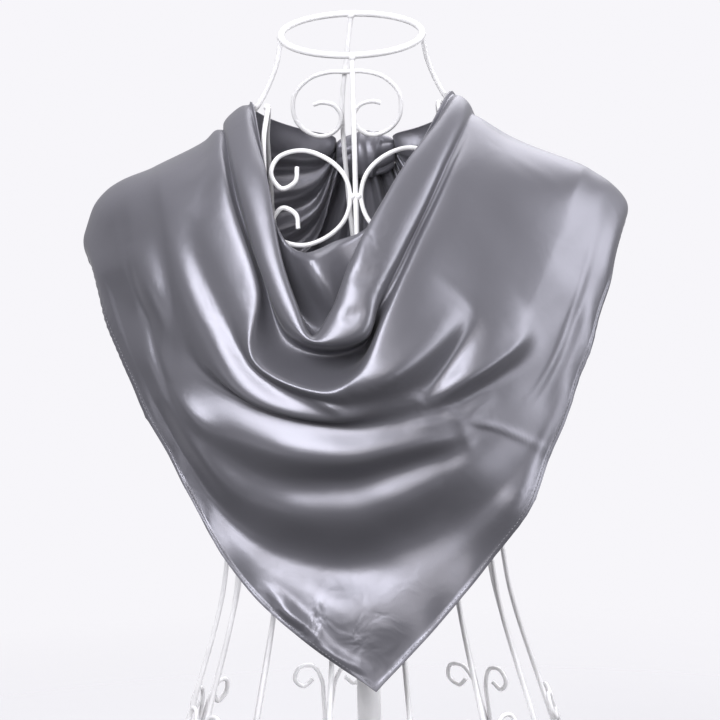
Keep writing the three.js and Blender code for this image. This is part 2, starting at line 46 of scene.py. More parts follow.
elevation = math.radians(view["elevation"])
target = Vector(view["target"]) * mm
eye = target + Vector((0, -math.cos(elevation), math.sin(elevation))) * view["distance"] * mm
lens = bpy.data.cameras.new("camera")
lens.lens = view["lens"]
lens.sensor_width = 36
lens.clip_end = 100
camera = bpy.data.objects.new("camera", lens)
turned = (target - eye).to_track_quat("-Z", "Y").to_matrix() @ Matrix.Rotation(math.radians(view["roll"]), 3, "Z")
camera.matrix_world = Matrix.Translation(eye) @ turned.to_4x4()
bpy.context.scene.collection.objects.link(camera)
bpy.context.scene.camera = camera
bpy.context.scene.view_settings.view_transform = "Standard"
print("camera set")


# soft studio light and a pale floor
studio = {
    "floorRadius": 3.0, "floorColour": (0.6, 0.595, 0.615, 1), "floorRoughness": 0.7,
    "fadeFrom": 0.12, "fadeTo": 0.45,
    "backdropColour": (0.93, 0.92, 0.955, 1), "ambientAbove": 0.4, "ambientBelow": 0.05, "ambientBehind": 0.6,
    "lamps": [  # name, place, aims at, size, watts, colour
        ("keyLamp", (-0.9, -2.0, 1.95), (0, 0, 0.5), 1.2, 64, (0.95, 0.96, 1)),
        ("sideLamp", (2.4, -0.5, 1.3), (0, 0, 0.45), 1.5, 40, (0.95, 0.96, 1)),
        ("lowRightLamp", (2.0, -1.4, 0.25), (0, 0, 0.42), 1.0, 8, (0.97, 0.97, 1)),
        ("lowLeftLamp", (-2.0, -1.4, 0.25), (0, 0, 0.42), 1.0, 4, (0.97, 0.97, 1)),
        ("frontLamp", (0.1, -2.7, 1.55), (0, 0, 0.45), 1.2, 14, (1, 0.98, 0.96)),
        ("topLamp", (0.3, 0.5, 2.8), (0, 0, 0.5), 1.6, 20, (1, 1, 1)),
        ("backLamp", (0.8, 2.0, 2.1), (0, 0, 0.5), 1.3, 26, (0.97, 0.97, 1)),
    ],
}


def addStudio():
    bm = bmesh.new()
    bmesh.ops.create_circle(bm, cap_ends=True, radius=studio["floorRadius"], segments=96)
    mesh = bpy.data.meshes.new("floor")
    bm.to_mesh(mesh)
    bm.free()
    floor = bpy.data.objects.new("floor", mesh)
    bpy.context.scene.collection.objects.link(floor)
    finish = bpy.data.materials.new("floorFinish")
    finish.use_nodes = True
    shader = finish.node_tree.nodes["Principled BSDF"]
    shader.inputs["Base Color"].default_value = studio["floorColour"]
    shader.inputs["Roughness"].default_value = studio["floorRoughness"]
    tree = finish.node_tree
    spot = tree.nodes.new("ShaderNodeTexCoord")
    shrink = tree.nodes.new("ShaderNodeMapping")
    shrink.inputs["Scale"].default_value = [1 / studio["floorRadius"]] * 3
    disc = tree.nodes.new("ShaderNodeTexGradient")
    disc.gradient_type = "SPHERICAL"
    fade = tree.nodes.new("ShaderNodeMapRange")
    fade.inputs["From Min"].default_value = 1 - studio["fadeTo"]
    fade.inputs["From Max"].default_value = 1 - studio["fadeFrom"]
    tree.links.new(spot.outputs["Object"], shrink.inputs["Vector"])
    tree.links.new(shrink.outputs["Vector"], disc.inputs["Vector"])
    tree.links.new(disc.outputs["Fac"], fade.inputs["Value"])
    tree.links.new(fade.outputs["Result"], shader.inputs["Alpha"])
    floor.data.materials.append(finish)
    floor.visible_diffuse = False  # a pale floor that throws no light up under the folds
    floor.visible_glossy = False
    world = bpy.data.worlds.new("studio")
    world.use_nodes = True
    tree = world.node_tree
    ambient = tree.nodes["Background"]  # what lights the object
    ambient.inputs["Color"].default_value = studio["backdropColour"]
    spot = tree.nodes.new("ShaderNodeTexCoord")
    axes = tree.nodes.new("ShaderNodeSeparateXYZ")
    height = tree.nodes.new("ShaderNodeMapRange")
    height.interpolation_type = "SMOOTHSTEP"
    height.inputs["From Min"].default_value = -0.35
    height.inputs["From Max"].default_value = 0.9
    height.inputs["To Min"].default_value = studio["ambientBelow"]
    height.inputs["To Max"].default_value = studio["ambientAbove"]
    tree.links.new(spot.outputs["Generated"], axes.inputs["Vector"])
    tree.links.new(axes.outputs["Z"], height.inputs["Value"])
    behind = tree.nodes.new("ShaderNodeMapRange")  # a white wall stands behind
    behind.interpolation_type = "SMOOTHSTEP"
    behind.inputs["From Min"].default_value = -0.1
    behind.inputs["From Max"].default_value = 0.6
    behind.inputs["To Max"].default_value = studio["ambientBehind"]
    both = tree.nodes.new("ShaderNodeMath")
    tree.links.new(axes.outputs["Y"], behind.inputs["Value"])
    tree.links.new(height.outputs["Result"], both.inputs[0])
    tree.links.new(behind.outputs["Result"], both.inputs[1])
    tree.links.new(both.outputs["Value"], ambient.inputs["Strength"])
    backdrop = tree.nodes.new("ShaderNodeBackground")  # what shows behind it
    backdrop.inputs["Color"].default_value = studio["backdropColour"]
    ray = tree.nodes.new("ShaderNodeLightPath")
    choose = tree.nodes.new("ShaderNodeMixShader")
    tree.links.new(ray.outputs["Is Camera Ray"], choose.inputs["Fac"])
    tree.links.new(ambient.outputs["Background"], choose.inputs[1])
    tree.links.new(backdrop.outputs["Background"], choose.inputs[2])
    tree.links.new(choose.outputs["Shader"], tree.nodes["World Output"].inputs["Surface"])
    bpy.context.scene.world = world
    for name, place, aim, size, watts, colour in studio["lamps"]:
        lamp = bpy.data.lights.new(name, "AREA")
        lamp.size = size
        lamp.energy = watts
        lamp.color = colour
        holder = bpy.data.objects.new(name, lamp)
        holder.location = place
        holder.rotation_euler = (Vector(aim) - Vector(place)).to_track_quat("-Z", "Y").to_euler()
        bpy.context.scene.collection.objects.link(holder)
    print("studio set")


addStudio()


# finishes
def newFinish(name):
    finish = bpy.data.materials.new(name)
    finish.use_nodes = True
    tree = finish.node_tree
    return finish, tree, tree.nodes["Principled BSDF"]


satinLook = {
    "Base Color": (0.195, 0.192, 0.217, 1), "Metallic": 0.52, "Roughness": 0.37, "Anisotropic": 0.45,
    "Specular Tint": (0.55, 0.55, 0.57, 1), "Sheen Weight": 0.12, "Sheen Roughness": 0.4,
}
satinRelief = {"threads": (900, 140, 1), "threadLean": math.radians(45), "threadDepth": 0.0003, "wrinkles": 42,
               "wrinkleDepth": 0.003}


def makeSatin():
    finish, tree, shader = newFinish("greySatin")
    for socket, value in satinLook.items():
        shader.inputs[socket].default_value = value
    place = tree.nodes.new("ShaderNodeTexCoord")
    along = tree.nodes.new("ShaderNodeTangent")
    along.direction_type = "UV_MAP"
    along.uv_map = "weave"
    tree.links.new(along.outputs["Tangent"], shader.inputs["Tangent"])
    stretch = tree.nodes.new("ShaderNodeMapping")
    stretch.inputs["Scale"].default_value = satinRelief["threads"]
    stretch.inputs["Rotation"].default_value = (0, 0, satinRelief["threadLean"])
    tree.links.new(place.outputs["UV"], stretch.inputs["Vector"])
    threads = tree.nodes.new("ShaderNodeTexNoise")
    threads.inputs["Scale"].default_value = 3
    threads.inputs["Detail"].default_value = 3
    tree.links.new(stretch.outputs["Vector"], threads.inputs["Vector"])
    crumple = tree.nodes.new("ShaderNodeTexNoise")  # small wrinkles, where the cloth has been handled
    crumple.inputs["Scale"].default_value = satinRelief["wrinkles"]
    crumple.inputs["Detail"].default_value = 2
    crumple.inputs["Roughness"].default_value = 0.45
    crumple.inputs["Distortion"].default_value = 0.9
    tree.links.new(place.outputs["Object"], crumple.inputs["Vector"])
    share = tree.nodes.new("ShaderNodeAttribute")
    share.attribute_name = "crumple"
    height = tree.nodes.new("ShaderNodeMath")
    height.operation = "MULTIPLY"
    tree.links.new(crumple.outputs["Fac"], height.inputs[0])
    tree.links.new(share.outputs["Fac"], height.inputs[1])
    wrinkles = tree.nodes.new("ShaderNodeBump")
    wrinkles.inputs["Strength"].default_value = 0.55
    wrinkles.inputs["Distance"].default_value = satinRelief["wrinkleDepth"]
    tree.links.new(height.outputs["Value"], wrinkles.inputs["Height"])
    relief = tree.nodes.new("ShaderNodeBump")
    relief.inputs["Strength"].default_value = 0.12
    relief.inputs["Distance"].default_value = satinRelief["threadDepth"]
    tree.links.new(threads.outputs["Fac"], relief.inputs["Height"])
    tree.links.new(wrinkles.outputs["Normal"], relief.inputs["Normal"])
    tree.links.new(relief.outputs["Normal"], shader.inputs["Normal"])
    return finish


threadLook = {"dark": (0.16, 0.155, 0.17, 1), "light": (0.30, 0.295, 0.32, 1), "twist": 1400}


def makeThread():
    finish, tree, shader = newFinish("greyThread")
    shader.inputs["Roughness"].default_value = 0.55
    shader.inputs["Sheen Weight"].default_value = 0.3
    place = tree.nodes.new("ShaderNodeTexCoord")
    twist = tree.nodes.new("ShaderNodeTexNoise")
    twist.inputs["Scale"].default_value = threadLook["twist"]
    tree.links.new(place.outputs["Object"], twist.inputs["Vector"])
    tint = tree.nodes.new("ShaderNodeValToRGB")
    tint.color_ramp.elements[0].color = threadLook["dark"]
    tint.color_ramp.elements[1].color = threadLook["light"]
    tree.links.new(twist.outputs["Fac"], tint.inputs["Fac"])
    tree.links.new(tint.outputs["Color"], shader.inputs["Base Color"])
    return finish


paintLook = {"dull": (0.80, 0.79, 0.80, 1), "clean": (0.90, 0.89, 0.90, 1), "clouds": 38, "grain": 900,
             "grainDepth": 0.0004}


def makePaint():
    finish, tree, shader = newFinish("whitePaint")
    shader.inputs["Roughness"].default_value = 0.32
    shader.inputs["Coat Weight"].default_value = 0.25
    place = tree.nodes.new("ShaderNodeTexCoord")
    cloud = tree.nodes.new("ShaderNodeTexNoise")
    cloud.inputs["Scale"].default_value = paintLook["clouds"]
    cloud.inputs["Detail"].default_value = 4
    tree.links.new(place.outputs["Object"], cloud.inputs["Vector"])
    tint = tree.nodes.new("ShaderNodeValToRGB")
    tint.color_ramp.elements[0].color = paintLook["dull"]
    tint.color_ramp.elements[1].color = paintLook["clean"]
    tint.color_ramp.elements[0].position = 0.35
    tint.color_ramp.elements[1].position = 0.6
    tree.links.new(cloud.outputs["Fac"], tint.inputs["Fac"])
    tree.links.new(tint.outputs["Color"], shader.inputs["Base Color"])
    grain = tree.nodes.new("ShaderNodeTexNoise")
    grain.inputs["Scale"].default_value = paintLook["grain"]
    tree.links.new(place.outputs["Object"], grain.inputs["Vector"])
    relief = tree.nodes.new("ShaderNodeBump")
    relief.inputs["Strength"].default_value = 0.08
    relief.inputs["Distance"].default_value = paintLook["grainDepth"]
    tree.links.new(grain.outputs["Fac"], relief.inputs["Height"])
    tree.links.new(relief.outputs["Normal"], shader.inputs["Normal"])
    return finish


satin = makeSatin()
thread = makeThread()
paint = makePaint()
print("finishes made")


def place(piece, slotName, finish, *nodes):
    piece.data.materials.append(finish)
    bpy.context.scene.collection.objects.link(piece)
    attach(piece, "root")
    if nodes:
        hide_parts(*nodes)
    return piece


def meshPiece(name, bm, slotName, finish, *nodes):
    for face in bm.faces:
        face.smooth = True
    mesh = bpy.data.meshes.new(name)
    bm.to_mesh(mesh)
    bm.free()
    return place(bpy.data.objects.new(name, mesh), slotName, finish, *nodes)


# smooth curve through points, the same as in the solids: (n, ..., 3) at places from 0 to n - 1
def smoothThrough(points, places):
    points = np.asarray(points, float)
    padded = np.concatenate([[2 * points[0] - points[1]], points, [2 * points[-1] - points[-2]]])
    out = np.empty((len(places),) + points.shape[1:])
    segment = np.clip(np.floor(places).astype(int), 0, len(points) - 2)
    for k in range(len(points) - 1):
        chosen = segment == k
        if not chosen.any():
            continue
        before, start, end, after = padded[k:k + 4]
        gap = [np.maximum(np.linalg.norm(b - a, axis=-1, keepdims=True), 1e-4) ** 0.5
               for a, b in ((before, start), (start, end), (end, after))]
        leave = (start - before) / gap[0] - (end - before) / (gap[0] + gap[1]) + (end - start) / gap[1]
        arrive = (end - start) / gap[1] - (after - start) / (gap[1] + gap[2]) + (after - end) / gap[2]
        leave, arrive = leave * gap[1], arrive * gap[1]
        u = (places[chosen] - k).reshape((-1,) + (1,) * (points.ndim - 1))
        out[chosen] = (start + u * leave + u ** 2 * (3 * (end - start) - 2 * leave - arrive)
                       + u ** 3 * (2 * (start - end) + leave + arrive))
    return out


# body that the cloth hangs on and the wire form inside it: height, half width, front and back depth
drapeLevels = np.array([
    (240, 200, 108, 78), (350, 205, 116, 82), (450, 209, 121, 87), (500, 210, 119, 89), (540, 211, 113, 89),
    (575, 211, 105, 87), (600, 208, 97, 84), (622, 199, 89, 81), (637, 180, 82, 78), (650, 143, 75, 75),
    (664, 114, 67, 71), (680, 92, 58, 66), (695, 76, 49, 61), (705, 70, 45, 58)], float)
formLevels = np.array([
    (140, 165, 132, 124), (220, 140, 112, 104), (300, 116, 88, 79), (345, 109, 79, 70), (430, 126, 92, 75),
    (500, 156, 104, 80), (540, 172, 101, 80), (600, 186, 87, 76), (640, 164, 73, 68), (664, 106, 61, 62),
    (694, 70, 45, 50)], float)


def levelAt(levels, column, z):
    heights, sizes = levels[:, 0], levels[:, column]
    slopes = np.empty(len(levels))
    slopes[1:-1] = (sizes[2:] - sizes[:-2]) / (heights[2:] - heights[:-2])
    slopes[0] = (sizes[1] - sizes[0]) / (heights[1] - heights[0])
    slopes[-1] = (sizes[-1] - sizes[-2]) / (heights[-1] - heights[-2])
    k = np.clip(np.searchsorted(heights, z, "right") - 1, 0, len(levels) - 2)
    span, rise = heights[k + 1] - heights[k], sizes[k + 1] - sizes[k]
    u = np.clip((z - heights[k]) / span, 0, 1)
    bend = (1 - u) * (slopes[k] * span - rise) - u * (slopes[k + 1] * span - rise)
    return sizes[k] + u * rise + u * (1 - u) * bend


def bodyPoint(levels, turn, z):  # turn is 0 at the front centre, +90 degrees at the right shoulder
    turn, z = np.broadcast_arrays(np.asarray(turn, float), np.asarray(z, float))
    depth = np.where(np.cos(turn) > 0, levelAt(levels, 2, z), levelAt(levels, 3, z))
    return np.stack([levelAt(levels, 1, z) * np.sin(turn), -depth * np.cos(turn), z], axis=-1)


def liftedPoint(turn, z, lift):
    turn, z = np.asarray(turn, float), np.asarray(z, float)
    across = bodyPoint(drapeLevels, turn + 0.01, z) - bodyPoint(drapeLevels, turn - 0.01, z)
    rise = bodyPoint(drapeLevels, turn, z + 1) - bodyPoint(drapeLevels, turn, z - 1)
    normal = np.cross(across, rise)
    normal /= np.linalg.norm(normal, axis=-1, keepdims=True)
    return bodyPoint(drapeLevels, turn, z) + normal * np.asarray(lift, float)[..., None]


# white wire form
wireForm = {
    "radius": 2.0, "ringRadius": 2.6, "scrollRadius": 1.8, "weld": 2.9,
    "neck": {"y": -6, "z": 747, "radius": 55, "tilt": math.radians(18)},
    "waist": {"z": 345, "halfWidth": 109, "front": 79, "back": 70},
    "hip": {"z": 140, "halfWidth": 165, "front": 132, "back": 124},
    "skirtWires": 14, "scrollTop": 222, "scrollMiddle": 624, "ringPoints": 24,
    "bead": 3.1, "sideBead": 2.8, "scrollBead": 2.6, "beadShift": 1.5,
}
chestCurl = [(0, 0), (4.6, 16.7), (17.5, 28.9), (36.5, 35.2), (54, 30.4), (59.7, 18.2), (51.7, 7.2), (41.4, 12.2),
             (39.8, 22.8)]
napeCurl = [(0, 0), (14, 0), (30, 5), (42, 18), (42, 36), (33, 47), (20, 51), (9, 46), (5, 36), (10, 27), (20, 24),
            (27, 25.5)]
skirtCurl = [(0, 62), (3.5, 34), (6, 15), (14, 2), (25, 2), (29, 13), (21, 20), (13.5, 14)]
beads = []  # where wires are welded: place and radius


def addWire(node, points, radius, closed=False, steps=10):
    points = np.asarray(points, float)
    if closed:
        ring = np.concatenate([points[-2:], points, points[:3]])
        path = smoothThrough(ring, np.linspace(2, len(points) + 2, len(points) * steps, endpoint=False))
    else:
        path = smoothThrough(points, np.linspace(0, len(points) - 1, (len(points) - 1) * steps + 1))
    curve = bpy.data.curves.new(node + "_rod", "CURVE")
    curve.dimensions = "3D"
    curve.bevel_depth = radius * mm
    curve.bevel_resolution = 3
    curve.use_fill_caps = True
    line = curve.splines.new("POLY")
    line.points.add(len(path) - 1)
    for point, co in zip(line.points, path * mm):
        point.co = (*co, 1)
    line.use_cyclic_u = closed
    line.use_smooth = True
    return place(bpy.data.objects.new(node + "_rod", curve), "white_paint", paint, node)


def formTurn(x, z):
    return math.asin(max(-1, min(1, x / levelAt(formLevels, 1, z))))


def formFront(x, z):
    return bodyPoint(formLevels, formTurn(x, z), z)


def formBack(x, z):
    return bodyPoint(formLevels, math.pi - formTurn(x, z), z)


def neckPoint(turn, drop=0):
    neck = wireForm["neck"]
    reach = neck["radius"] * math.cos(turn)
    return np.array([neck["radius"] * math.sin(turn), neck["y"] - reach * math.cos(neck["tilt"]),
                     neck["z"] - reach * math.sin(neck["tilt"]) - drop])


def ovalPoint(oval, turn, z):
    depth = oval["front"] if math.cos(turn) > 0 else oval["back"]
    return np.array([oval["halfWidth"] * math.sin(turn), -depth * math.cos(turn), z])


def ringTurns():
    return [2 * math.pi * i / wireForm["ringPoints"] for i in range(wireForm["ringPoints"])]


def skirtTurn(k):
    return (k + 0.5) * 2 * math.pi / wireForm["skirtWires"]


def mirroredCurl(curl):
    return [(-out, down) for out, down in reversed(curl[1:])] + curl


def addTorsoWires():
    waist, weld = wireForm["waist"], wireForm["weld"]
    addWire("neck_ring", [neckPoint(t) for t in ringTurns()], wireForm["ringRadius"], closed=True)
    waistLine = [ovalPoint(waist, t, waist["z"]) for t in ringTurns()]
    addWire("waist_ring", waistLine, wireForm["ringRadius"], closed=True)
    top = waist["z"] + weld
    shift, bead = wireForm["beadShift"], wireForm["bead"]
    addWire("front_wire", [neckPoint(0, weld), (0, -66, 690), formFront(0, 640), formFront(0, 590),
                           formFront(0, 520), formFront(0, 440), ovalPoint(waist, 0, top)], wireForm["radius"])
    addWire("back_wire", [neckPoint(math.pi, weld), (-5, 51, 725), (-9, 56, 690), formBack(-6, 620),
                          formBack(0, 540), formBack(0, 440), ovalPoint(waist, math.pi, top)], wireForm["radius"])
    beads.extend([(neckPoint(0, shift), bead), (neckPoint(math.pi, shift), bead)])
    beads.extend([(ovalPoint(waist, turn, waist["z"] + shift), bead) for turn in (0, math.pi)])
    for side, label in ((-1, "left"), (1, "right")):
        quarter = side * math.pi / 2
        underCloth = [liftedPoint(quarter, z, -2.2) for z in (694, 680, 664, 650, 637, 622)]
        addWire(label + "_shoulder_wire", [neckPoint(quarter, weld + 0.5), (side * 60, -4, 722), *underCloth,
                (side * 194, 0, 590), (side * 168, 0, 530), (side * 139, 0, 465), (side * 117, 0, 400),
                ovalPoint(waist, quarter, top)], wireForm["radius"])
        beads.append((neckPoint(quarter, shift), bead))
        beads.append((ovalPoint(waist, quarter, waist["z"] + shift), bead))
        stations = [(69.5, 668), (69, 642), (68.4, 624), (68, 606), (60, 550), (50, 490), (42, 430)]
        for face, onForm, depth in (("front", formFront, -1), ("back", formBack, 1)):
            turn = side * 0.34 if face == "front" else math.pi - side * 0.34
            addWire(f"{label}_{face}_wire", [(side * 66.5, depth * 7, 691), (side * 67.8, depth * 26, 682),
                    *[onForm(side * x, z) for x, z in stations], ovalPoint(waist, turn, top)], wireForm["radius"])
            beads.append((np.array([side * 67.5, depth * 4.5, 692]), wireForm["sideBead"]))
            beads.append((ovalPoint(waist, turn, waist["z"] + shift), bead))
    print("torso wires made")


def addScrolls():
    reach = wireForm["radius"] + wireForm["scrollRadius"] + 0.3
    middle = wireForm["scrollMiddle"]
    lower = [(out, -up) for out, up in reversed(chestCurl[1:])]
    for side, label in ((-1, "left"), (1, "right")):
        path = [formFront(side * (reach + out), middle + up) + (0, 1.5, 0) for out, up in lower + chestCurl]
        addWire(label + "_chest_scroll", path, wireForm["scrollRadius"])
        beads.append((formFront(side * reach / 2, middle) + (0, 0.5, 0), wireForm["scrollBead"]))
    nape = [(out - 5, 52 - reach + 0.09 * down, 718 - down) for out, down in mirroredCurl(napeCurl)]
    addWire("nape_scroll", nape, wireForm["scrollRadius"])
    for k, skirtWire in enumerate(range(1, wireForm["skirtWires"], 2)):
        path = []
        for out, down in mirroredCurl(skirtCurl):
            z = wireForm["scrollTop"] - down
            point = bodyPoint(formLevels, skirtTurn(skirtWire) + out / levelAt(formLevels, 1, z), z)
            away = point * (1, 1, 0)
            away /= np.linalg.norm(away)
            path.append(point + away * (reach + 1))
        addWire(f"skirt_scroll_{k + 1}", path, wireForm["scrollRadius"])
        beads.append((path[len(path) // 2] - away * 1.6 + (0, 0, 2), wireForm["scrollBead"]))
    print("scrolls made")


def addSkirtWires():
    waist, hip, weld = wireForm["waist"], wireForm["hip"], wireForm["weld"]
    shift, bead = wireForm["beadShift"], wireForm["bead"]
    addWire("hip_ring", [ovalPoint(hip, t, hip["z"]) for t in ringTurns()], wireForm["ringRadius"], closed=True)
    for k in range(wireForm["skirtWires"]):
        turn = skirtTurn(k)
        between = [bodyPoint(formLevels, turn, z) for z in (300, 220)]
        addWire(f"skirt_wire_{k + 1:02d}", [ovalPoint(waist, turn, waist["z"] - weld), *between,
                                            ovalPoint(hip, turn, hip["z"] + weld)], wireForm["radius"])
        beads.append((ovalPoint(waist, turn, waist["z"] - shift), bead))
        beads.append((ovalPoint(hip, turn, hip["z"] + shift), bead))
    print("skirt wires made")


def addBeads():
    bm = bmesh.new()
    for centre, radius in beads:
        bmesh.ops.create_icosphere(bm, subdivisions=2, radius=radius * mm,
                                   matrix=Matrix.Translation(Vector(centre) * mm))
    meshPiece("weld_beads", bm, "white_paint", paint)


addTorsoWires()
addSkirtWires()
addScrolls()
addBeads()


# stand
stand = {"baseRadius": 135, "baseThickness": 8, "baseEdge": 2.2, "poleRadius": 9.5, "poleFoot": 8.3, "poleTop": 345,
         "barRadius": 3, "collarRadius": 17, "collarHeight": 16}


def roundBar(bm, radius, low, high, edge, segments=64):
    made = bmesh.ops.create_cone(bm, cap_ends=True, segments=segments, radius1=radius * mm, radius2=radius * mm,
                                 depth=(high - low) * mm, matrix=Matrix.Translation((0, 0, (low + high) / 2 * mm)))
    rims = {e for v in made["verts"] for e in v.link_edges if abs(e.verts[0].co.z - e.verts[1].co.z) < 1e-9}
    bmesh.ops.bevel(bm, geom=list(rims), offset=edge * mm, affect="EDGES", segments=4, profile=0.5, material=-1)


def addStand():
    bm = bmesh.new()
    roundBar(bm, stand["baseRadius"], 0, stand["baseThickness"], stand["baseEdge"], segments=128)
    meshPiece("round_base", bm, "white_paint", paint, "base_plate")
    bm = bmesh.new()
    roundBar(bm, stand["poleRadius"], stand["poleFoot"], stand["poleTop"], 0.8)
    roundBar(bm, stand["collarRadius"], stand["poleFoot"], stand["poleFoot"] + stand["collarHeight"], 3)
    meshPiece("pole_tube", bm, "white_paint", paint, "pole")
    waist, hip = wireForm["waist"], wireForm["hip"]
    onTop = waist["z"] + 0.3 + stand["barRadius"]
    reach = waist["halfWidth"] - wireForm["weld"] - 1
    addWire("waist_bar", [(-reach, 0, onTop), (0, 0, onTop), (reach, 0, onTop)], stand["barRadius"])
    inner, reach = stand["poleRadius"] + 0.3, hip["halfWidth"] - wireForm["weld"]
    for side, label in ((-1, "left"), (1, "right")):
        addWire(label + "_hip_bar", [(side * inner, 0, hip["z"]), (side * (inner + reach) / 2, 0, hip["z"]),
                                     (side * reach, 0, hip["z"])], stand["barRadius"])
    print("stand made")


addStand()


# the scarf's front, from the neck edge down to the hem: each shoulder gives height and lift off the body,
# the seven stations between, from upper left past the low middle to upper right, give x, height and lift
frontFolds = [  # name, rows to the next fold, left shoulder, seven stations, right shoulder
    ("neckEdge", 10, (695, 3), (-67, 644, 3), (-62, 611, 3), (-50, 589, 4), (-36, 584, 4),
     (-16, 591, 4), (7, 600, 4), (40, 645, 4), (700, 3)),
    ("firstPocket", 9, (693, 2), (-68, 632, 3), (-62, 586, 1), (-52, 544, -1), (-33, 522, 2),
     (-12, 528, 4), (6, 574, 5), (40, 636, 4), (697, 2)),
    ("roll", 9, (689, 6), (-65, 635, 11), (-55, 581, 20), (-43, 545, 27), (-32, 521, 31),
     (-19, 539, 31), (-4, 575, 27), (29, 630, 18), (693, 6)),
    ("rollLip", 9, (677, 6), (-84, 625, 11), (-68, 571, 20), (-49, 528, 29), (-28, 516, 36),
     (3, 521, 37), (13, 549, 31), (44, 605, 16), (686, 6)),
    ("secondPocket", 6, (674, 1.5), (-88, 621, 2), (-70, 566, 4), (-53, 523, 3), (-27, 511, 2),
     (3, 517, 6), (16, 545, 18), (46, 602, 8), (682, 1.5)),
    ("pocketFloor", 9, (673, 3), (-91, 623, 4), (-71, 561, 7), (-59, 516, 5), (-25, 503, 4),
     (3, 509, 9), (18, 540, 19), (49, 600, 8), (680, 2)),
    ("secondRidge", 14, (671, 5), (-95, 628, 8), (-72, 555, 14), (-75, 508, 22), (-22, 483, 33),
     (-2, 495, 34), (18, 530, 28), (52, 598, 12), (677, 3)),
    ("valley", 8, (664, 3), (-119, 602, 7), (-101, 546, 12), (-75, 500, 18), (-18, 473, 26),
     (24, 482, 22), (56, 500, 14), (90, 552, 8), (661, 3)),
    ("thirdLip", 7, (648, 3), (-137, 586, 6), (-118, 521, 11), (-80, 478, 23), (-22, 463, 26),
     (20, 470, 21), (57, 484, 15), (104, 513, 8), (640, 3)),
    ("tuck", 8, (645, 2), (-143, 580, 4), (-126, 510, 7), (-84, 478, 8), (-24, 460, 15),
     (23, 460, 16), (62, 472, 11), (110, 503, 7), (636, 2)),
    ("bellyTop", 10, (639, 2), (-158, 547, 4), (-132, 480, 8), (-83, 447, 16), (-19, 435, 25),
     (30, 442, 22), (71, 452, 14), (125, 480, 7), (629, 2)),
    ("bellyHollow", 10, (634, 2), (-162, 540, 3), (-135, 470, 6), (-84, 423, 8), (-18, 415, 11),
     (37, 427, 11), (79, 441, 12), (129, 476, 7.5), (625, 2)),
    ("bellySwell", 14, (629, 2), (-166, 533, 4), (-137, 460, 7), (-84, 402, 10), (-15, 391, 17),
     (44, 410, 16), (88, 432, 13), (134, 472, 7), (620, 2)),
    ("lowHollow", 12, (618, 2), (-174, 520, 3), (-140, 446, 5), (-83, 372, 4), (-9, 353, 4),
     (53, 376, 6), (96, 406, 12), (138, 461, 8), (612, 2)),
    ("lowSwell", 26, (600, 2), (-178, 517, 3), (-141, 437, 6), (-83, 356, 9), (-4, 318, 20),
     (56, 350, 15), (100, 391, 17), (141, 454, 9), (604, 2)),
    ("hem", 0, (574, 2), (-185, 510, 3), (-143, 427, 6), (-83, 332, 16), (5, 261, 36),
     (60, 319, 25), (105, 374, 18), (145, 443, 9), (594, 2)),
]
frontCreases = [  # name, from, via, to, width, height, first and last fold
    ("rightFanSwell", (80, 545), (48, 503), (-6, 479), 11, 11, 5.8, 8.2),
    ("rightFanTop", (66, 560), (32, 518), (-14, 490), 16, 5, 5.9, 8),
    ("rightFanHollow", (90, 534), (68, 500), (44, 472), 8, -6, 6.2, 8.8),
    ("farFanSwell", (134, 522), (96, 495), (40, 468), 6.5, 6, 6.6, 10),
    ("farFanTop", (130, 535), (90, 508), (44, 482), 15, 6, 6.6, 9.6),
    ("farFanHollow", (135, 505), (94, 480), (46, 460), 8, -1.5, 7.2, 12.5),
    ("pressedFold", (66, 460), (104, 456), (150, 422), 2.6, 1.5, 9.2, 16.5),
    ("starUpper", (46, 480), (60, 468), (76, 456), 4, 2.4, 9, 13),
    ("starRight", (100, 478), (86, 466), (70, 457), 5, 1.8, 9, 13),
    ("starLeft", (30, 456), (52, 459), (76, 457), 4, 1.8, 9, 13),
    ("starDown", (73, 462), (76, 448), (82, 430), 5, 1.2, 9.4, 14),
    ("pinchRidge", (-84, 512), (-62, 492), (-16, 484), 6, 3, 5.6, 7.4),
    ("innerHollow", (-58, 578), (-47, 545), (-28, 518), 8, -5, 0.3, 2),
    ("hemStrip", (-74, 336), (-50, 310), (-18, 281), 5, 3.5, 13.5, 16.5),
    ("hemStripLow", (-52, 303), (-28, 284), (4, 272), 4, 2.2, 14, 16.6),
    ("hemLeaf", (-66, 324), (-58, 313), (-50, 308), 4, 2.5, 13.5, 16.5),
    ("shoulderLine", (76, 668), (112, 660), (160, 622), 3.5, 1.5, 6.8, 12),
    ("leftValley", (-129, 616), (-124, 552), (-43, 470), 10, -3, 6.5, 9),
    ("leftLeaf", (-133, 593), (-131, 539), (-56, 475), 12, 3, 7, 9.4),
    ("leftShoulderHollow", (-186, 572), (-169, 532), (-121, 500), 16, -4, 9, 14),
    ("leftChestSwell", (-166, 595), (-147, 547), (-110, 506), 15, 6, 9.1, 12.5),
    ("leftFlank", (-136, 490), (-131, 460), (-91, 400), 13, 5, 9.6, 16),
    ("leftEdgeHollow", (-158, 474), (-147, 434), (-99, 369), 12, -4, 10, 16.5),
    ("rightFlank", (60, 412), (110, 402), (156, 372), 25, 8, 9.8, 16.5),
    ("innerStreak", (-44, 598), (-25, 566), (-4, 528), 12, 20, -0.5, 1.8),
    ("bandCrease", (-13, 537), (0, 543), (13, 545), 4, -2.5, 1.2, 3),
    ("bandCreaseHigh", (-4, 563), (10, 574), (26, 575), 4, -2, 1.2, 3),
    ("smallTuck", (-44, 486), (-26, 478), (-11, 464), 4, 3.5, 6.6, 8.8),
]
